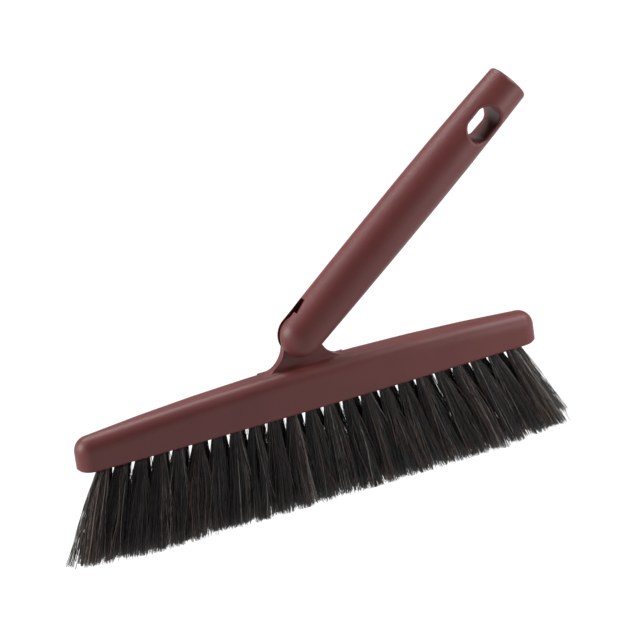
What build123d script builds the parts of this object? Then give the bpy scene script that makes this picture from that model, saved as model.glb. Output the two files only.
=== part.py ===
from build123d import *
import os
from math import cos, pi, radians, sin, tan

os.makedirs("parts", exist_ok=True)

# A hand broom: a long slim moulded head with two staggered rows of horsehair tufts
# on its underside, and a round handle on a pivot over the middle of the head.
# The head lies along X and the bristles point down, so the broom stands on their
# trimmed tips at height 0. The front of the head looks along -Y.

# Head block
head_length = 302.0
head_middle_width = 24.0
head_end_width = 18.5
head_middle_height = 25.2
head_end_height = 20.1
head_middle_crown = 8.8
head_end_crown = 0.4
head_bottom_chamfer = 1.4
head_station_shares = (-1, -0.75, -0.5, -0.25, 0, 0.25, 0.5, 0.75, 1)

# Bristles: visible length, rows, and how far the tufts fan out
bristle_length = 58.0
tufts_per_row = 23
row_stagger_share = 0.5
tuft_end_margin = 13.2
tuft_rows_offset = 0.8
row_spacing = 8.4
end_tuft_lean = 21.0
row_lean = 2.3
tip_spread_x = 5.6
tip_spread_y = 4.2

# Tuft: the bundle folded into its drilled hole, and its strands
hole_radius = 2.7
hole_depth = 11.0
hole_sides = 6
tuft_clearance = 0.1
strands_per_ring = 7
strand_ring_radius = 1.7
strand_root_radius = 0.6
strand_tip_radius = 1.6
strand_sides = 3
strand_root_depth = 0.6
trim_depth = 0.5

# Anchor: the flat wire that holds a tuft's fold at the bottom of its hole
anchor_height = 2.4
anchor_thickness = 0.4
anchor_bite = 0.5
anchor_clearance = 0.05

# Web and tongue, moulded in one with the head
pivot_height = 44.0
web_thickness = 5.2
web_offset = 1.9
web_neck_width = 22.8
web_flare_radius = 16.6
web_root_depth = 3.0
web_blend_radius = 3.0

# Handle
rest_angle = 37.3
handle_reach = 196.5
grip_root_radius = 13.5
grip_peak_radius = 14.45
grip_peak_reach = 112.0
grip_tip_radius = 12.95
grip_steps = 3
tip_edge_radius = 2.2
tip_edge_steps = 3
fork_bottom_gap = 5.8
fork_side_clearance = 0.3
fork_relief_start = 7.6
fork_relief_depth = 2.9
fork_relief_end_depth = 0.5

# Hang hole, a long round-ended hole across the handle near its tip
hang_tip_wall = 19.5
hang_hole_length = 24.0
hang_hole_width = 15.2
hang_rim_radius = 1.5

# Pivot pin, pressed in from the rear cheek and blind in the front one
pin_radius = 2.5
pin_running_clearance = 0.05
pin_recess = 0.8
pin_front_wall = 3.6
pin_end_chamfer = 0.4

# Cuts run this far past the faces that they cross
overrun = 2.0

# Places that follow from the sizes above
underside = bristle_length
nose_radius = head_end_width / 2
nose_x = head_length / 2 - nose_radius
head_sagitta = head_middle_height - head_end_height
pivot_z = underside + pivot_height
pivot_point = (0, 0, pivot_z)
tongue_radius = web_neck_width / 2
fork_slot_depth = tongue_radius + fork_bottom_gap
hang_hole_reach = handle_reach - hang_tip_wall - hang_hole_length / 2
handle_direction = (cos(radians(rest_angle)), 0, sin(radians(rest_angle)))
handle_plane = Plane(origin=pivot_point, x_dir=handle_direction, z_dir=(0, -1, 0))
handle_axis = Axis(pivot_point, handle_direction)
fork_slot_width = web_thickness + 2 * fork_side_clearance
fork_plane = Plane(origin=(0, web_offset, pivot_z), x_dir=handle_direction, z_dir=(0, -1, 0))
slot_front = (0, web_offset - fork_slot_width / 2, pivot_z)
relief_plane = Plane(origin=slot_front, x_dir=handle_direction, z_dir=handle_plane.y_dir)
outer_tuft_x = head_length / 2 - tuft_end_margin
tuft_pitch = outer_tuft_x / ((tufts_per_row - 1) / 2 + row_stagger_share / 2)


def head_top_at(x):
    """Height of the head's arched top over the floor, at a distance x from its middle."""
    return underside + head_middle_height - head_sagitta * (x / nose_x) ** 2


def tip_centre(root_x, root_y):
    """Where the middle of a tuft meets the floor: the tufts fan out along X and apart in Y."""
    fan = bristle_length * tan(radians(end_tuft_lean)) / outer_tuft_x
    side = 1 if root_y > 0 else -1
    return root_x * (1 + fan), root_y + side * bristle_length * tan(radians(row_lean))


def mouth_plane(root_x, root_y):
    """Plane at the mouth of a tuft hole, whose normal runs up the leaning hole."""
    tip_x, tip_y = tip_centre(root_x, root_y)
    up_the_hole = (root_x - tip_x, root_y - tip_y, bristle_length)
    return Plane(origin=(root_x, root_y, underside), x_dir=(1, 0, 0), z_dir=up_the_hole)


# The web's flares end on the head's arched top
web_foot = head_top_at(web_neck_width / 2 + web_flare_radius)

# Each row is shifted by half of the stagger, the front one to the left
tuft_roots = {}
for row_name, side in (("front", -1), ("rear", 1)):
    for index in range(tufts_per_row):
        middle_index = (tufts_per_row - 1) / 2
        root_x = (index - middle_index + side * row_stagger_share / 2) * tuft_pitch
        root_x += tuft_rows_offset
        tuft_roots[f"tuft_{row_name}_{index + 1:02d}"] = (root_x, side * row_spacing / 2)


def flared_neck(plane, neck_width, flare_radius, neck_top):
    """Face of a neck that stands on the head's top and flares out at its foot."""
    neck_half = neck_width / 2
    foot_half = neck_half + flare_radius
    with BuildSketch(plane) as neck:
        with BuildLine():
            left_flare = RadiusArc(
                (-foot_half, web_foot), (-neck_half, web_foot + flare_radius), -flare_radius
            )
            right_flare = RadiusArc(
                (neck_half, web_foot + flare_radius), (foot_half, web_foot), -flare_radius
            )
            Polyline(left_flare @ 1, (-neck_half, neck_top), (neck_half, neck_top), right_flare @ 0)
            Polyline(
                right_flare @ 1,
                (foot_half, web_foot - web_root_depth),
                (-foot_half, web_foot - web_root_depth),
                left_flare @ 0,
            )
        make_face()
    return neck.sketch


# Web and tongue: the outline seen from the front, with the round tongue at the pivot,
# is kept only where the outline seen from the end allows it, so both flares meet
web_end_plane = Plane(origin=(0, web_offset, 0), x_dir=(0, 1, 0), z_dir=(1, 0, 0))
tongue_top = pivot_z + tongue_radius
side_outline = flared_neck(Plane.XZ, web_neck_width, web_flare_radius, pivot_z)
end_outline = flared_neck(web_end_plane, web_thickness, web_blend_radius, tongue_top)
with BuildPart() as web:
    extrude(side_outline, amount=head_middle_width / 2, both=True)
    with BuildSketch(Plane.XZ):
        with Locations((0, pivot_z)):
            Circle(tongue_radius)
    extrude(amount=head_middle_width / 2, both=True)
    extrude(end_outline, amount=web_neck_width / 2 + web_flare_radius, both=True, mode=Mode.INTERSECT)


def head_section(x):
    """Outline across the head: a flat underside, and round shoulders beside a flat crown."""
    width = head_middle_width - (head_middle_width - head_end_width) * (x / nose_x) ** 2
    crown = head_middle_crown - (head_middle_crown - head_end_crown) * (x / nose_x) ** 2
    plane = Plane(origin=(x, 0, underside), x_dir=(0, 1, 0), z_dir=(1, 0, 0))
    with BuildSketch(plane) as section:
        Rectangle(width, head_top_at(x) - underside, align=(Align.CENTER, Align.MIN))
        fillet(section.vertices().group_by(Axis.Y)[-1], (width - crown) / 2)
        chamfer(section.vertices().group_by(Axis.Y)[0], head_bottom_chamfer)
    return section.sketch


# Head block: a bar that swells to its middle, with a round nose at each end, its web
# and tongue, and the tuft holes
with BuildPart() as head_block:
    loft([head_section(share * nose_x) for share in head_station_shares], ruled=True)
    for side in (-1, 1):
        nose_centre = (side * nose_x, 0, underside)
        nose_plane = Plane(origin=nose_centre, x_dir=(0, -side, 0), z_dir=(-side, 0, 0))
        with BuildSketch(nose_plane) as nose_profile:
            Rectangle(nose_radius, head_end_height, align=(Align.MIN, Align.MIN))
            upper_corner = nose_profile.vertices().group_by(Axis.X)[-1].sort_by(Axis.Y)[-1]
            fillet(upper_corner, (head_end_width - head_end_crown) / 2)
            lower_corner = nose_profile.vertices().group_by(Axis.X)[-1].sort_by(Axis.Y)[0]
            chamfer(lower_corner, head_bottom_chamfer)
        revolve(axis=Axis(nose_centre, (0, 0, 1)), revolution_arc=180)

    add(web.part)

    # The tuft holes lean with their tufts; hidden and often repeated, they have few sides
    for root in tuft_roots.values():
        with BuildSketch(mouth_plane(*root).offset(-overrun)):
            RegularPolygon(hole_radius, hole_sides)
    extrude(amount=hole_depth + overrun, mode=Mode.SUBTRACT)

    # Running bore for the pivot pin
    with BuildSketch(Plane.XZ):
        with Locations((0, pivot_z)):
            Circle(pin_radius + pin_running_clearance)
    extrude(amount=head_middle_width / 2, both=True, mode=Mode.SUBTRACT)
head_block.part.label = "head_block"
export_step(head_block.part, "parts/head_block.step")


def grip_radius_at(reach):
    """Radius of the grip, fullest at its peak and falling off evenly to both ends."""
    if reach < grip_peak_reach:
        end_radius, share = grip_root_radius, 1 - reach / grip_peak_reach
    else:
        end_radius, share = grip_tip_radius, (reach - grip_peak_reach) / (grip_end - grip_peak_reach)
    return grip_peak_radius - (grip_peak_radius - end_radius) * share**2


# The grip's outline from its root to its tip, and then round the edge of the tip
grip_end = handle_reach - tip_edge_radius
lower_stations = [grip_peak_reach * step / grip_steps for step in range(1, grip_steps + 1)]
upper_stations = [
    grip_peak_reach + (grip_end - grip_peak_reach) * step / grip_steps
    for step in range(1, grip_steps + 1)
]
grip_outline = [(reach, grip_radius_at(reach)) for reach in lower_stations + upper_stations]
for step in range(1, tip_edge_steps + 1):
    turn = pi / 2 * step / tip_edge_steps
    grip_outline.append(
        (
            grip_end + tip_edge_radius * sin(turn),
            grip_tip_radius - tip_edge_radius * (1 - cos(turn)),
        )
    )


# Handle: a round bar, fullest past its middle, with a domed and forked pivot end
with BuildPart() as handle:
    with BuildSketch(handle_plane):
        with BuildLine():
            dome = RadiusArc((-grip_root_radius, 0), (0, grip_root_radius), grip_root_radius)
            Polyline(dome @ 1, *grip_outline, (handle_reach, 0), dome @ 0)
        make_face()
    revolve(axis=handle_axis)

    # Fork slot, open round the dome and on both sides of the bar, a little behind its
    # middle like the tongue, and a slanted relief in the front cheek over the tongue
    with BuildSketch(fork_plane):
        with Locations(((fork_slot_depth - grip_root_radius - overrun) / 2, 0)):
            Rectangle(
                fork_slot_depth + grip_root_radius + overrun,
                2 * (grip_peak_radius + overrun),
            )
    extrude(amount=fork_slot_width / 2, both=True, mode=Mode.SUBTRACT)
    with BuildSketch(relief_plane):
        Polygon(
            (fork_relief_start, 0),
            (fork_relief_start, -fork_relief_depth),
            (fork_slot_depth, -fork_relief_end_depth),
            (fork_slot_depth, 0),
            align=None,
        )
    extrude(amount=grip_peak_radius + overrun, mode=Mode.SUBTRACT)

    # Hang hole with a rounded rim on both sides
    with BuildSketch(handle_plane):
        with Locations((hang_hole_reach, 0)):
            SlotOverall(hang_hole_length, hang_hole_width)
    extrude(amount=grip_peak_radius + overrun, both=True, mode=Mode.SUBTRACT)
    hang_rims = handle.edges(Select.LAST).filter_by(GeomType.LINE, reverse=True)
    fillet(hang_rims, hang_rim_radius)

    # Pin bore, open at the rear and blind behind the front of the dome
    pin_front = -(grip_root_radius - pin_front_wall)
    with BuildSketch(Plane(origin=(0, pin_front, pivot_z), x_dir=(1, 0, 0), z_dir=(0, 1, 0))):
        Circle(pin_radius)
    extrude(amount=2 * grip_root_radius, mode=Mode.SUBTRACT)
handle.part.label = "handle"
export_step(handle.part, "parts/handle.step")


# Pivot pin: plain steel, its rear end a little below the dome
with BuildPart() as pivot_pin:
    with BuildSketch(Plane(origin=(0, pin_front, pivot_z), x_dir=(1, 0, 0), z_dir=(0, 1, 0))):
        Circle(pin_radius)
    extrude(amount=grip_root_radius - pin_recess - pin_front)
    chamfer(pivot_pin.edges().sort_by(Axis.Y)[-1], pin_end_chamfer)
pivot_pin.part.label = "pivot_pin"
export_step(pivot_pin.part, "parts/pivot_pin.step")


def strand_outline(centre, radius, height):
    """Corners of a level strand section of a given radius, at a height over the floor."""
    turns = [2 * pi * corner / strand_sides for corner in range(strand_sides)]
    x, y = centre
    return [(x + radius * cos(turn), y + radius * sin(turn), height) for turn in turns]


def strand_solids(root_x, root_y):
    """The strands of one tuft: one in the middle and a ring round it, spreading evenly."""
    tip_x, tip_y = tip_centre(root_x, root_y)
    turns = [2 * pi * step / strands_per_ring for step in range(strands_per_ring)]
    directions = [(0, 0)] + [(cos(turn), sin(turn)) for turn in turns]
    strands = []
    for dx, dy in directions:
        root = (root_x + strand_ring_radius * dx, root_y + strand_ring_radius * dy)
        tip = (tip_x + tip_spread_x * dx, tip_y + tip_spread_y * dy)
        rise = (strand_root_depth + bristle_length) / bristle_length
        sunk = (tip[0] + (root[0] - tip[0]) * rise, tip[1] + (root[1] - tip[1]) * rise)
        fall = (trim_depth + bristle_length) / bristle_length
        past = (root[0] + (tip[0] - root[0]) * fall, root[1] + (tip[1] - root[1]) * fall)
        top = strand_outline(sunk, strand_root_radius, underside + strand_root_depth)
        foot = strand_outline(past, strand_tip_radius, -trim_depth)
        sides = [
            Face(Wire.make_polygon([top[corner], top[corner - 1], foot[corner - 1], foot[corner]]))
            for corner in range(strand_sides)
        ]
        ends = [Face(Wire.make_polygon(top)), Face(Wire.make_polygon(foot))]
        strands.append(Solid(Shell(sides + ends)))
    return strands


# Tufts: each is a folded bundle, solid inside its hole and spread into strands below
plug_radius = hole_radius - tuft_clearance
plug_depth = hole_depth - tuft_clearance
for name, root in tuft_roots.items():
    mouth = mouth_plane(*root)
    strands = strand_solids(*root)
    with BuildPart() as tuft:
        with BuildSketch(mouth.offset(-overrun)):
            RegularPolygon(plug_radius, hole_sides)
        extrude(amount=plug_depth + overrun)
        split(bisect_by=Plane.XY.offset(underside), keep=Keep.TOP)
        with BuildSketch(mouth.offset(plug_depth - anchor_height - anchor_clearance)):
            Rectangle(2 * hole_radius, anchor_thickness + 2 * anchor_clearance)
        extrude(amount=anchor_height + overrun, mode=Mode.SUBTRACT)
        add(strands)
        split(bisect_by=Plane.XY, keep=Keep.TOP)
    tuft.part.label = name
    export_step(tuft.part, f"parts/{name}.step")


# Tuft anchors: flat wires across the folds, driven into the walls of the holes
with BuildPart() as tuft_anchors:
    for root in tuft_roots.values():
        with BuildSketch(mouth_plane(*root).offset(plug_depth - anchor_height)):
            Rectangle(2 * (hole_radius + anchor_bite), anchor_thickness)
    extrude(amount=anchor_height)
tuft_anchors.part.label = "tuft_anchors"
export_step(tuft_anchors.part, "parts/tuft_anchors.step")
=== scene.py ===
# %% [markdown]
# # A hand broom with a pivoting handle
#
# The broom has a moulded polypropylene head and handle, and two rows of dark horsehair
# tufts. The hard pieces come finished in shape from the CAD model, so here they only get
# their surface. The hair is made here, hair by hair, because a brush is judged by its
# edges: the gaps at the roots, the loose hairs, and the line where it was trimmed.

import bpy
import numpy as np
from mathutils import Matrix, Vector


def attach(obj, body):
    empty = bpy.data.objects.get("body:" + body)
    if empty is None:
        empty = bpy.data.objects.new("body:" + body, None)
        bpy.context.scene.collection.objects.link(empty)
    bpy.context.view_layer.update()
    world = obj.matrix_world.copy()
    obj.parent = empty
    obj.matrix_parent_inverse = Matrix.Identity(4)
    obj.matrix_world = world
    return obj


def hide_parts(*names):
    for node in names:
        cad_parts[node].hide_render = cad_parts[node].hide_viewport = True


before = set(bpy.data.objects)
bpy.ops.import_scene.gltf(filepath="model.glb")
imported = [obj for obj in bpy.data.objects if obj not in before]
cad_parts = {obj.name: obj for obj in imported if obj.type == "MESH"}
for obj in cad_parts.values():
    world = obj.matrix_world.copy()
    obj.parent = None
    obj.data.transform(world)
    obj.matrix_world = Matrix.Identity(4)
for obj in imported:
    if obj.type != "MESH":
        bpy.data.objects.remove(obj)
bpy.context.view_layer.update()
MM = 0.001

# %% [markdown]
# ## The camera
#
# The photograph was taken with a long lens, a little from the left and from above, and
# the picture was then turned, so that the broom seems to stand on one corner. The broom
# itself could be tilted, but then its bristles would leave the floor. A camera that is
# turned about its own line of sight gives the same picture and leaves the broom upright.

# %% Camera
HEAD_UNDERSIDE = 58 * MM
CAMERA_AZIMUTH = np.radians(-22.3)
CAMERA_ELEVATION = np.radians(20.57)
CAMERA_ROLL = np.radians(8.11)
CAMERA_DISTANCE = 2840 * MM
LENS_MM = 268.4
SENSOR_MM = 36
VIEW_DEPTH = 20  # metres
AIM_RIGHT = 12.97 * MM
AIM_UP = 48.5 * MM

sin_a, cos_a = np.sin(CAMERA_AZIMUTH), np.cos(CAMERA_AZIMUTH)
sin_e, cos_e = np.sin(CAMERA_ELEVATION), np.cos(CAMERA_ELEVATION)
screen_right = Vector((cos_a, sin_a, 0))
screen_up = Vector((-sin_a * sin_e, cos_a * sin_e, cos_e))
towards_camera = Vector((sin_a * cos_e, -cos_a * cos_e, sin_e))

target = Vector((0, 0, HEAD_UNDERSIDE))
camera_place = target + towards_camera * CAMERA_DISTANCE
aim = target + screen_right * AIM_RIGHT + screen_up * AIM_UP
camera = bpy.data.objects.new("camera", bpy.data.cameras.new("camera"))
bpy.context.scene.collection.objects.link(camera)
camera.data.lens = LENS_MM
camera.data.sensor_width = SENSOR_MM
camera.data.clip_end = VIEW_DEPTH
turned = (aim - camera_place).to_track_quat("-Z", "Y").to_matrix().to_4x4()
camera.matrix_world = (
    Matrix.Translation(camera_place) @ turned @ Matrix.Rotation(-CAMERA_ROLL, 4, "Z")
)
bpy.context.scene.camera = camera
print("camera at", [round(v, 3) for v in camera_place])

# %% [markdown]
# ## Lamps
#
# Satin plastic shows its lamps as soft, wide highlights, so the lamps are soft boxes:
# area lamps, which could also be panels that glow. A large one on the left draws the
# bright strip along the handle, one above and behind lights the top of the head, and two
# small ones near the right end lift that end.

# %% Soft boxes
MIDDLE = (0.03, 0, 0.11)  # the middle of the broom, in metres


def soft_box(name, place, aim_at, size, watts):
    """A rectangular lamp that faces a point."""
    lamp = bpy.data.lights.new(name, "AREA")
    lamp.shape = "RECTANGLE"
    lamp.size, lamp.size_y = size
    lamp.energy = watts
    holder = bpy.data.objects.new(name, lamp)
    bpy.context.scene.collection.objects.link(holder)
    facing = (Vector(aim_at) - Vector(place)).to_track_quat("-Z", "Y")
    holder.matrix_world = Matrix.Translation(place) @ facing.to_matrix().to_4x4()


soft_box("box_left", (-1.3, 0.3, 0.74), MIDDLE, (0.7, 0.8), 33)
soft_box("box_front", (0.3, -0.2, 0.14), (0.16, 0, 0.07), (0.14, 0.14), 0.4)
soft_box("box_right", (0.5, -0.1, 0.5), (0.15, 0, 0.08), (0.24, 0.24), 3.4)
soft_box("box_top", (-0.06, 0.8, 1.47), MIDDLE, (1.2, 0.6), 28)
print("light in all:", round(sum(lamp.energy for lamp in bpy.data.lights), 1), "W")

# %% [markdown]
# ## The room
#
# A picture of a studio could stand for the room, but a plain one is enough here. The far
# wall is white only near the horizon, where a low camera sees it. Above, the room stays
# dim, so that the dark plastic keeps its colour. So the room's light follows the height
# of the direction in which one looks, which is the sine of its angle above the horizon.

# %% Room
WALL_WHITE_TO = 7  # degrees above the horizon
WALL_DIM_FROM = 11
DIM_LIGHT = 0.02
WHITE = (1, 1, 1, 1)


def add_node(tree, kind, settings=None, **links):
    """Add one node. Settings name its sockets or properties; links feed its sockets."""
    node = tree.nodes.new(kind)
    for key, value in (settings or {}).items():
        if key in node.inputs:
            node.inputs[key].default_value = value
        else:
            setattr(node, key, value)
    for key, socket in links.items():
        tree.links.new(socket, node.inputs[key.replace("_", " ")])
    return node


room = bpy.data.worlds.new("room")
room.use_nodes = True
air = room.node_tree.nodes["Background"]
direction = add_node(room.node_tree, "ShaderNodeTexCoord").outputs["Generated"]
height = add_node(room.node_tree, "ShaderNodeSeparateXYZ", Vector=direction).outputs["Z"]
wall = add_node(room.node_tree, "ShaderNodeMapRange",
                {"From Min": np.sin(np.radians(WALL_WHITE_TO)),
                 "From Max": np.sin(np.radians(WALL_DIM_FROM)),
                 "To Min": 1.0, "To Max": DIM_LIGHT},
                Value=height)
room.node_tree.links.new(wall.outputs["Result"], air.inputs["Strength"])
air.inputs["Color"].default_value = WHITE
bpy.context.scene.world = room
bpy.context.scene.view_settings.view_transform = "Standard"
print("wall white to", WALL_WHITE_TO, "degrees and dim from", WALL_DIM_FROM)

# %% [markdown]
# ## The light table
#
# A product without a shadow is photographed on a light table: a sheet of opal acrylic
# that is lit from below. A lamp under a sheet that lets light through would be slow and
# noisy, so the sheet itself glows. It also lights the underside and the front a little.

# %% Light table
FLOOR_HALF = 25.0  # metres, far beyond what the camera sees
FLOOR_COLOUR = "#303030"
FLOOR_ROUGHNESS = 0.9
FLOOR_GLOW = 1.0


def linear(hex_code):
    """sRGB hex to the linear colour that shaders work in."""
    srgb = np.array([int(hex_code[i : i + 2], 16) for i in (1, 3, 5)]) / 255
    low = srgb / 12.92
    high = ((srgb + 0.055) / 1.055) ** 2.4
    return (*np.where(srgb <= 0.04045, low, high), 1.0)


floor_mesh = bpy.data.meshes.new("floor")
corners = [(-FLOOR_HALF, -FLOOR_HALF, 0), (FLOOR_HALF, -FLOOR_HALF, 0),
           (FLOOR_HALF, FLOOR_HALF, 0), (-FLOOR_HALF, FLOOR_HALF, 0)]
floor_mesh.from_pydata(corners, [], [(0, 1, 2, 3)])
floor = bpy.data.objects.new("floor", floor_mesh)
bpy.context.scene.collection.objects.link(floor)
opal_acrylic = bpy.data.materials.new("opal_acrylic")
opal_acrylic.use_nodes = True
floor_shader = opal_acrylic.node_tree.nodes["Principled BSDF"]
floor_shader.inputs["Base Color"].default_value = linear(FLOOR_COLOUR)
floor_shader.inputs["Roughness"].default_value = FLOOR_ROUGHNESS
floor_shader.inputs["Emission Color"].default_value = WHITE
floor_shader.inputs["Emission Strength"].default_value = FLOOR_GLOW
floor_mesh.materials.append(opal_acrylic)
print("floor", FLOOR_HALF * 2, "m wide")

# %% [markdown]
# ## Moulded polypropylene
#
# Head and handle are injection moulded in polypropylene of a dusty burgundy brown. The
# mould has a fine spark-eroded grain, so the plastic is satin: it spreads a highlight
# wide and shows no sharp reflection. Polypropylene is a little waxy and cloudy, which a
# faint change of colour over some centimetres gives, and its moulded edges are never
# sharp. The grain of about 0.3 mm is drawn at 0.6 mm, because finer is lost here.
#
# The edges could be rounded in the mesh, but the shape belongs to the CAD model. So a
# Bevel node rounds them in the shading only, and a Bump node adds the grain to that.

# %% Polypropylene
PLASTIC_LIGHT = "#582A29"
PLASTIC_DARK = "#522625"
PLASTIC_IOR = 1.49
PLASTIC_SPECULAR = 0.3
PLASTIC_SMOOTHEST = 0.43
PLASTIC_ROUGHEST = 0.51
NOISE_LOW, NOISE_HIGH = 0.3, 0.7  # most values of a noise texture lie between these
CLOUD_SIZE = 35 * MM
GRAIN_SIZE = 0.6 * MM
GRAIN_DEPTH = 0.03 * MM
GRAIN_STRENGTH = 0.12
EDGE_RADIUS = 1.2 * MM
EDGE_SAMPLES = 6


def moulded_polypropylene():
    """Satin plastic: a cloudy base colour, a rounded edge and a fine mould grain."""
    material = bpy.data.materials.new("moulded_polypropylene")
    material.use_nodes = True
    tree = material.node_tree
    shader = tree.nodes["Principled BSDF"]
    shader.inputs["IOR"].default_value = PLASTIC_IOR
    shader.inputs["Specular IOR Level"].default_value = PLASTIC_SPECULAR
    place = add_node(tree, "ShaderNodeTexCoord").outputs["Object"]
    cloud = add_node(tree, "ShaderNodeTexNoise",
                     {"Scale": 1 / CLOUD_SIZE, "Detail": 3.0, "Roughness": 0.6},
                     Vector=place)
    tone = add_node(tree, "ShaderNodeValToRGB", Fac=cloud.outputs["Fac"])
    tone.color_ramp.elements[0].position = NOISE_LOW
    tone.color_ramp.elements[0].color = linear(PLASTIC_DARK)
    tone.color_ramp.elements[1].position = NOISE_HIGH
    tone.color_ramp.elements[1].color = linear(PLASTIC_LIGHT)
    tree.links.new(tone.outputs["Color"], shader.inputs["Base Color"])
    grain = add_node(tree, "ShaderNodeTexNoise",
                     {"Scale": 1 / GRAIN_SIZE, "Detail": 2.0, "Roughness": 0.5},
                     Vector=place)
    matt = add_node(tree, "ShaderNodeMapRange",
                    {"From Min": NOISE_LOW, "From Max": NOISE_HIGH,
                     "To Min": PLASTIC_SMOOTHEST, "To Max": PLASTIC_ROUGHEST},
                    Value=grain.outputs["Fac"])
    tree.links.new(matt.outputs["Result"], shader.inputs["Roughness"])
    edge = add_node(tree, "ShaderNodeBevel",
                    {"samples": EDGE_SAMPLES, "Radius": EDGE_RADIUS})
    bump = add_node(tree, "ShaderNodeBump",
                    {"Strength": GRAIN_STRENGTH, "Distance": GRAIN_DEPTH},
                    Height=grain.outputs["Fac"], Normal=edge.outputs["Normal"])
    tree.links.new(bump.outputs["Normal"], shader.inputs["Normal"])
    return material


def dress(node_name, material):
    """Give a CAD node's slots a finished material."""
    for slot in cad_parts[node_name].material_slots:
        slot.material = material


polypropylene = moulded_polypropylene()
dress("head_block", polypropylene)
dress("handle", polypropylene)
print("polypropylene on head_block and handle")

# %% [markdown]
# ## Steel
#
# The pivot pin is drawn wire, cut and pressed in; only its end shows, in a small recess
# at the back of the dome. The anchors are galvanised flat wire, deep in the tuft holes.
# Drawing leaves fine lines along the wire, and they are far too fine to model. So they
# are a noise texture, stretched along the pin, that makes the steel rougher in lines.

# %% Drawn steel
STEEL_COLOUR = "#B4B4B2"
STEEL_SMOOTHEST = 0.25
STEEL_ROUGHEST = 0.45
LINE_SIZE = 0.3 * MM
LINE_STRETCH = 0.05  # a smaller scale along the pin makes the lines longer


def drawn_steel():
    """Plain steel with fine drawing lines along the pin, which runs along Y."""
    material = bpy.data.materials.new("drawn_steel")
    material.use_nodes = True
    tree = material.node_tree
    shader = tree.nodes["Principled BSDF"]
    shader.inputs["Metallic"].default_value = 1.0
    shader.inputs["Base Color"].default_value = linear(STEEL_COLOUR)
    place = add_node(tree, "ShaderNodeTexCoord").outputs["Object"]
    stretched = add_node(tree, "ShaderNodeMapping", Vector=place)
    stretched.inputs["Scale"].default_value = (1, LINE_STRETCH, 1)
    lines = add_node(tree, "ShaderNodeTexNoise",
                     {"Scale": 1 / LINE_SIZE, "Detail": 2.0},
                     Vector=stretched.outputs["Vector"])
    rough = add_node(tree, "ShaderNodeMapRange",
                     {"To Min": STEEL_SMOOTHEST, "To Max": STEEL_ROUGHEST},
                     Value=lines.outputs["Fac"])
    tree.links.new(rough.outputs["Result"], shader.inputs["Roughness"])
    return material


steel = drawn_steel()
dress("pivot_pin", steel)
dress("tuft_anchors", steel)
print("steel on pivot_pin and tuft_anchors")

# %% [markdown]
# ## Horsehair
#
# Horsehair is a thick, springy, glossy hair. A dark mix is black to dark brown, with
# single hairs that are chestnut or grey. A noise texture would give a hair patches of
# colour. So every hair carries one number, its tone, as an attribute of its mesh, and the
# material turns that number into a colour, which is the same from root to tip. A second
# number says how far along the hair a point lies, because hair is duller and a little
# lighter at the trimmed tips.

# %% Horsehair material
HAIR_TONES = (
    (0.00, "#0C0B0A"),
    (0.45, "#151312"),
    (0.72, "#1E1916"),
    (0.86, "#2D221B"),
    (0.93, "#4E3427"),
    (0.97, "#655044"),
    (1.00, "#86807A"),
)
HAIR_IOR = 1.55
ROOT_LIGHT, TIP_LIGHT = 0.85, 1.25
ROOT_ROUGHNESS, TIP_ROUGHNESS = 0.34, 0.48


def horsehair():
    """Glossy dark hair, coloured by the attribute hair_tone. Along the hair, which the
    attribute hair_along counts from 0 to 1, its colour is scaled and its gloss fades."""
    material = bpy.data.materials.new("horsehair")
    material.use_nodes = True
    tree = material.node_tree
    shader = tree.nodes["Principled BSDF"]
    shader.inputs["IOR"].default_value = HAIR_IOR
    tone = add_node(tree, "ShaderNodeAttribute", {"attribute_name": "hair_tone"})
    ramp = add_node(tree, "ShaderNodeValToRGB", Fac=tone.outputs["Fac"])
    colours = ramp.color_ramp.elements
    colours[0].position, colours[0].color = HAIR_TONES[0][0], linear(HAIR_TONES[0][1])
    colours[1].position, colours[1].color = HAIR_TONES[-1][0], linear(HAIR_TONES[-1][1])
    for position, code in HAIR_TONES[1:-1]:
        colours.new(position).color = linear(code)
    along = add_node(tree, "ShaderNodeAttribute", {"attribute_name": "hair_along"})
    fade = add_node(tree, "ShaderNodeMapRange",
                    {"To Min": ROOT_LIGHT, "To Max": TIP_LIGHT},
                    Value=along.outputs["Fac"])
    faded = add_node(tree, "ShaderNodeVectorMath", {"operation": "SCALE"},
                     Vector=ramp.outputs["Color"], Scale=fade.outputs["Result"])
    tree.links.new(faded.outputs["Vector"], shader.inputs["Base Color"])
    dull = add_node(tree, "ShaderNodeMapRange",
                    {"To Min": ROOT_ROUGHNESS, "To Max": TIP_ROUGHNESS},
                    Value=along.outputs["Fac"])
    tree.links.new(dull.outputs["Result"], shader.inputs["Roughness"])
    return material


horsehair_material = horsehair()
print("horsehair has", len(HAIR_TONES), "tones")

# %% [markdown]
# ## Where the tufts stand
#
# A tuft is a bundle folded in half and driven into its hole with a flat wire. There are
# two rows, set off by half a pitch, so that a tuft behind fills the gap between two in
# front. The tufts fan out along the head, and the two rows lean a little apart. After
# filling, the brush is trimmed flat, so all tips end near one plane.
#
# The CAD model's own bundles could be measured, but the rule that placed them is short,
# so it is written again. Hair is small, so from here on its sizes are in millimetres,
# and only the finished mesh is in metres.

# %% Where the tufts are
TUFTS_PER_ROW = 23
TUFT_PITCH = 12.2489
ROWS_OFFSET = 0.8  # the rows sit this far to the right of the head's middle
ROW_SPACING = 8.4
BRISTLE_LENGTH = 58.0
OUTER_TUFT_X = 137.8
END_TUFT_LEAN = np.radians(21.0)
ROW_LEAN = np.radians(2.3)
fan = BRISTLE_LENGTH * np.tan(END_TUFT_LEAN) / OUTER_TUFT_X


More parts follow.
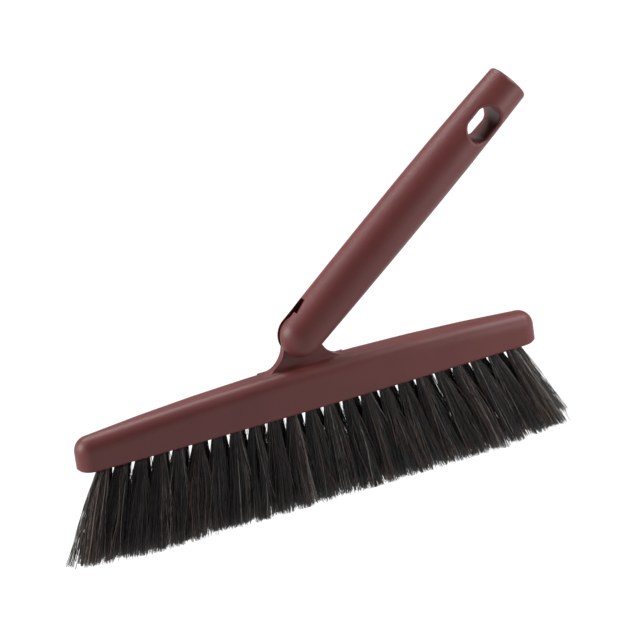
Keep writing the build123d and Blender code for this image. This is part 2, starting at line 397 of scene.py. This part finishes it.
def tuft_ends(row, index):
    """Middle of a tuft at the head's underside and at the floor. The tip lies further
    from the middle of the row than the root, by the share fan of the root's distance."""
    side = -1 if row == "front" else 1
    x = (index - (TUFTS_PER_ROW - 1) / 2) * TUFT_PITCH + side * TUFT_PITCH / 4
    y = side * ROW_SPACING / 2
    root = np.array([x + ROWS_OFFSET, y, BRISTLE_LENGTH])
    tip_y = y + side * BRISTLE_LENGTH * np.tan(ROW_LEAN)
    return root, np.array([x * (1 + fan) + ROWS_OFFSET, tip_y, 0])


print("outermost tips at", round(float(tuft_ends("front", 0)[1][0]), 1),
      "and", round(float(tuft_ends("rear", TUFTS_PER_ROW - 1)[1][0]), 1), "mm")

# %% [markdown]
# ## The surface of a hair
#
# Particles or hair curves could draw the hair, but an exported part can't keep them. So
# each hair is a thin tube. Three sides are enough, because no one can count the sides of
# a hair, and they keep the thousands of hairs light. One function works out all hairs of
# a tuft at once. The rings lie closer together near the hole, where the hairs spring
# apart and bend most.

# %% Hair surfaces
HAIR_SIDES = 3
HAIR_RINGS = 8
RING_POWER = 1.6
RING_PLACES = np.linspace(0, 1, HAIR_RINGS) ** RING_POWER
DISC_JITTER = 0.35


def sunflower(count, rng):
    """Points spread evenly over a unit disc: point k lies at radius sqrt(k / count) and
    at k golden angles, moved a little at random."""
    k = np.arange(count) + 0.5
    radius = np.sqrt(k / count)
    angle = k * np.pi * (3 - np.sqrt(5))
    points = np.stack([radius * np.cos(angle), radius * np.sin(angle)], axis=1)
    return points + rng.normal(0, DISC_JITTER / np.sqrt(count), points.shape)


def hair_tubes(centres, radii):
    """Closed tubes along many centre lines at once. Ring r of hair h lies at centre
    C(h, r), and its corner s is C + radius * (cos a * U + sin a * V), where
    a = 2 pi s / sides, and U and V are level directions, because the hairs run down."""
    hairs, rings, _ = centres.shape
    angles = 2 * np.pi * np.arange(HAIR_SIDES) / HAIR_SIDES
    around = np.stack([np.cos(angles), np.sin(angles), np.zeros(HAIR_SIDES)], axis=1)
    points = centres[:, :, None, :] + radii[:, :, None, None] * around
    ring, side = np.meshgrid(np.arange(rings - 1), np.arange(HAIR_SIDES), indexing="ij")
    after = (side + 1) % HAIR_SIDES
    upper, lower = ring * HAIR_SIDES, (ring + 1) * HAIR_SIDES
    walls = np.stack([upper + side, lower + side, lower + after, upper + after], axis=-1)
    walls = walls.reshape(-1, 4)
    first = np.arange(hairs)[:, None, None] * rings * HAIR_SIDES
    quads = (first + walls).reshape(-1, 4)
    top = np.arange(HAIR_SIDES)
    foot = (rings - 1) * HAIR_SIDES + np.arange(HAIR_SIDES)[::-1]
    caps = np.stack([top, foot])
    return points.reshape(-1, 3), quads, (first + caps).reshape(-1, HAIR_SIDES)


print("a hair has", HAIR_RINGS * HAIR_SIDES, "points and",
      (HAIR_RINGS - 1) * HAIR_SIDES + 2, "faces")

# %% [markdown]
# ## The hairs of one tuft
#
# A tuft leaves its hole tight and round, opens at once as the hairs spring apart, and
# goes on opening slowly to its tip. Its hairs never stand evenly. They gather in locks,
# which bend together, cross the lock next to them, and end together, so the trimmed line
# has small steps. A few hairs in every tuft stray on their own. They get light tones,
# chestnut to grey: partly the light hairs of the mix, partly a painted highlight where
# they catch the light.
#
# Combing by hand could give all this, but it would take days for 46 tufts. A rule with a
# little chance in it makes tufts that are alike in kind and differ in every hair.

# %% The hairs of one tuft
OPENING_POWER = 0.82
HALF_DEPTH = 14.0  # no hair goes further to the front or the rear
HAIR_IN_HOLE = 1.5
LOCKS = 9
LOCK_MIDDLES = 0.85  # the locks' middles reach this share of the way to the rim
LOCK_PULL = 0.25
LEAST_PULL = 0.2
LOCK_SHIFT = 1.2
LOCK_BOW = 0.85
LOCK_SHORTER = 0.12
HAIR_SHIFT = 1.3
HAIR_BOW = 0.7
HAIR_WAVE = 0.35
HAIR_SHORTER = 0.05
STRAY_SHARE = 0.05
STRAY_SHIFT = 3.4
STRAY_BOW = 2.4  # times the bow of the other hairs
SHORT_SHARE = 0.01
SHORT_BY = 2.5


def tuft_hairs(root, tip, count, mouth, spread, outward, rise, rng):
    """Centre lines of a tuft's hairs, the number of each hair's lock, and which stray.

    With t from 0 at the hole to 1 at the floor, a hair lies at
    axis(t) + mouth place * (1 - g) + tip place * g, where g = t ** OPENING_POWER opens
    the tuft at once and then slowly. Both places start from the same point of a disc:
    scaled by mouth it is the mouth place, and pulled to the middle of its lock, scaled
    by spread and shifted, it is the tip place. To that comes a bow, sin(pi * t) squared,
    of the lock and of the hair, and a wave, sin(2 * pi * t). At the left end of the head
    outward is -1 and at the right end 1: there the stray hairs are turned inwards. All
    tips end above the floor by rise, and a little more at random."""
    disc = sunflower(count, rng)
    middles = sunflower(LOCKS, rng) * LOCK_MIDDLES
    lock = np.argmin(((disc[:, None] - middles[None]) ** 2).sum(2), axis=1)
    pull = rng.uniform(LEAST_PULL, 1.0, (count, 1)) * LOCK_PULL
    tips = (disc * (1 - pull) + middles[lock] * pull) * spread
    tips += (rng.normal(0, LOCK_SHIFT, (LOCKS, 2))[lock]
             + rng.normal(0, HAIR_SHIFT, tips.shape))
    stray = rng.random(count) < STRAY_SHARE
    tips[stray] += rng.normal(0, STRAY_SHIFT, (stray.sum(), 2))
    if outward:
        tips[stray, 0] = -outward * np.abs(tips[stray, 0])

    t = RING_PLACES[None, :, None]
    opened = t**OPENING_POWER
    offset = disc[:, None] * mouth * (1 - opened) + tips[:, None] * opened
    bow = (rng.normal(0, LOCK_BOW, (LOCKS, 1, 2))[lock]
           + rng.normal(0, HAIR_BOW, (count, 1, 2)))
    bow[stray] *= STRAY_BOW
    wave = rng.normal(0, HAIR_WAVE, (count, 1, 2))
    offset = offset + bow * np.sin(np.pi * t) ** 2 + wave * np.sin(2 * np.pi * t)
    down = root + (tip - root) * t
    lines = np.repeat(down, count, axis=0)
    lines[:, :, :2] += offset
    lines[:, :, 1] = np.clip(lines[:, :, 1], -HALF_DEPTH, HALF_DEPTH)

    short = (np.abs(rng.normal(0, LOCK_SHORTER, LOCKS))[lock]
             + np.abs(rng.normal(0, HAIR_SHORTER, count)))
    short += rise
    short[rng.random(count) < SHORT_SHARE] += SHORT_BY
    lines[:, :, 2] += short[:, None] * t[:, :, 0]
    lines[:, 0, 2] += HAIR_IN_HOLE
    return lines, lock, stray


print("a tuft has", LOCKS, "locks, and one hair in", round(1 / STRAY_SHARE), "strays")

# %% [markdown]
# ## The mesh of one tuft
#
# Horsehair is up to a quarter of a millimetre thick, no two hairs alike, and a little
# finer at the tip. Here it is about 0.3 mm thick, so that fewer hairs fill a tuft than in
# the real one. Each hair could be an object, but thousands of objects are slow, so a tuft
# is one mesh, and its two attributes tell the material one hair from another.

# %% Tuft mesh
HAIR_RADIUS = 0.16
TIP_TAPER = 0.1
THINNEST = 0.8
THICKNESS_SPAN = 0.4
THICKNESS_MIX = 37  # any large number: it makes the thickness jump from tone to tone


def hair_mesh(name, lines, tones):
    """One mesh of all hairs of a tuft. With s counting a hair's rings from 0 at the root
    to 1 at the tip, its radius is HAIR_RADIUS * (1 - TIP_TAPER * s squared) * thickness.
    The attribute hair_tone holds the tone of the hair, and hair_along holds s."""
    counted = np.linspace(0, 1, HAIR_RINGS)
    taper = HAIR_RADIUS * (1 - TIP_TAPER * counted**2)
    thickness = THINNEST + THICKNESS_SPAN * np.mod(tones * THICKNESS_MIX, 1)
    radii = taper[None, :] * thickness[:, None]
    points, quads, caps = hair_tubes(lines, radii)
    mesh = bpy.data.meshes.new(name)
    mesh.from_pydata((points * MM).tolist(), [], quads.tolist() + caps.tolist())
    mesh.polygons.foreach_set("use_smooth", np.ones(len(mesh.polygons), bool))
    per_hair = HAIR_RINGS * HAIR_SIDES
    tone = mesh.attributes.new("hair_tone", "FLOAT", "POINT")
    tone.data.foreach_set("value", np.repeat(tones, per_hair).astype(np.float32))
    along = mesh.attributes.new("hair_along", "FLOAT", "POINT")
    one_hair = np.repeat(counted, HAIR_SIDES)
    along.data.foreach_set("value", np.tile(one_hair, len(tones)).astype(np.float32))
    mesh.materials.append(horsehair_material)
    return mesh


thickest = 2 * HAIR_RADIUS * (THINNEST + THICKNESS_SPAN)
print("hairs are", round(2 * HAIR_RADIUS * THINNEST, 2), "to", round(thickest, 2), "mm")

# %% [markdown]
# ## One tuft by its place
#
# In the middle of the head the tufts differ only by chance: each leans and opens a little
# its own way, and all lean slightly to the right. Towards the ends the tips end a little
# higher, and there is more brown in the hair. The outermost tufts have no neighbour to
# hold them, so their outer hairs stand off in a wisp, and towards the left end the tufts
# leave their holes fuller. Each tuft could be shaped on its own, but one function with
# these few rules serves them all.

# %% One tuft by its place
HAIRS_PER_TUFT = 340
MOUTH_RADIUS = 2.8
MOUTH_RANGE = (0.95, 1.08)
SPREAD = np.array([8.5, 6.4])  # half the width and half the depth at the tips
SPREAD_RANGE = (0.93, 1.07)
LEAN_JITTER = 0.45
LEAN_RIGHT = 2.5
LEAN_FADE = 25.0  # near the right end the lean fades over this length
LEFT_FULLER = 0.7
LEFT_FROM = 80.0
END_RISE = 3.8
RISE_FROM = 100.0
WISP_FROM = 135.0
WISP_EDGE = 5.0
WISP_SHIFTS = {-1: 3.2, 1: 1.4}
TONE_SPAN = 0.95
LOCK_TONE = 0.13
# light tones of stray hairs: partly real chestnut and grey hair, partly a painted
# highlight
STRAY_TONES_AND_GLINT = (0.75, 1.0)
END_BROWN = 0.15
BROWN_FROM = 125


def towards_end(place, start):
    """A share that is 0 up to start and then grows evenly to 1 at the outermost tuft."""
    return np.clip((place - start) / (OUTER_TUFT_X - start), 0, 1)


def grow_tuft(row, index, rng):
    """The centre lines of a tuft's hairs and their tones. A hair's tone is a random share
    of TONE_SPAN, plus the tone of its lock, plus END_BROWN at the ends of the head. In a
    wisp, hairs go further out by WISP_SHIFTS * t squared."""
    root, tip = tuft_ends(row, index)
    tip[:2] += rng.normal(0, LEAN_JITTER, 2)
    tip[0] += LEAN_RIGHT * np.clip((OUTER_TUFT_X - root[0]) / LEAN_FADE, 0, 1)
    spread = SPREAD * rng.uniform(*SPREAD_RANGE)
    outward = np.sign(root[0]) * (abs(root[0]) > WISP_FROM)
    rise = END_RISE * towards_end(abs(root[0]), RISE_FROM)
    fuller = LEFT_FULLER * towards_end(-root[0], LEFT_FROM)
    mouth = MOUTH_RADIUS * rng.uniform(*MOUTH_RANGE) + fuller
    lines, lock, stray = tuft_hairs(
        root, tip, HAIRS_PER_TUFT, mouth, spread, outward, rise, rng
    )
    if outward:
        outer = (lines[:, -1, 0] - tip[0]) * outward > WISP_EDGE
        lines[outer, :, 0] += outward * WISP_SHIFTS[int(outward)] * RING_PLACES**2
    lock_tone = rng.normal(0, LOCK_TONE, LOCKS)[lock]
    at_end = END_BROWN * (abs(root[0]) > BROWN_FROM)
    tones = rng.random(len(lines)) * TONE_SPAN + lock_tone + at_end
    # stray hairs get a light tone, partly real chestnut or grey hair and partly a painted
    # highlight
    tones[stray] = rng.uniform(*STRAY_TONES_AND_GLINT, stray.sum())
    return lines, np.clip(tones, 0, 1)


print("a tuft opens from", 2 * MOUTH_RADIUS, "to about", 2 * SPREAD[0], "mm wide")

# %% [markdown]
# ## All tufts
#
# The filling machine sets tuft after tuft, and so does this loop. The tufts could share
# one stream of chance, but each has a seed of its own, so a change to one of them leaves
# the others as they are. Each mesh takes the place of one bundle of the CAD model.

# %% Build the tufts
SEEDS_PER_ROW = 1000

hair_count = 0
for row_number, row in enumerate(("front", "rear")):
    for index in range(TUFTS_PER_ROW):
        rng = np.random.default_rng(SEEDS_PER_ROW * row_number + index)
        lines, tones = grow_tuft(row, index, rng)
        name = f"hair_{row}_{index + 1:02d}"
        piece = bpy.data.objects.new(name, hair_mesh(name, lines, tones))
        bpy.context.scene.collection.objects.link(piece)
        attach(piece, "head")
        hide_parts(f"tuft_{row}_{index + 1:02d}")
        hair_count += len(lines)
print("hairs:", hair_count)
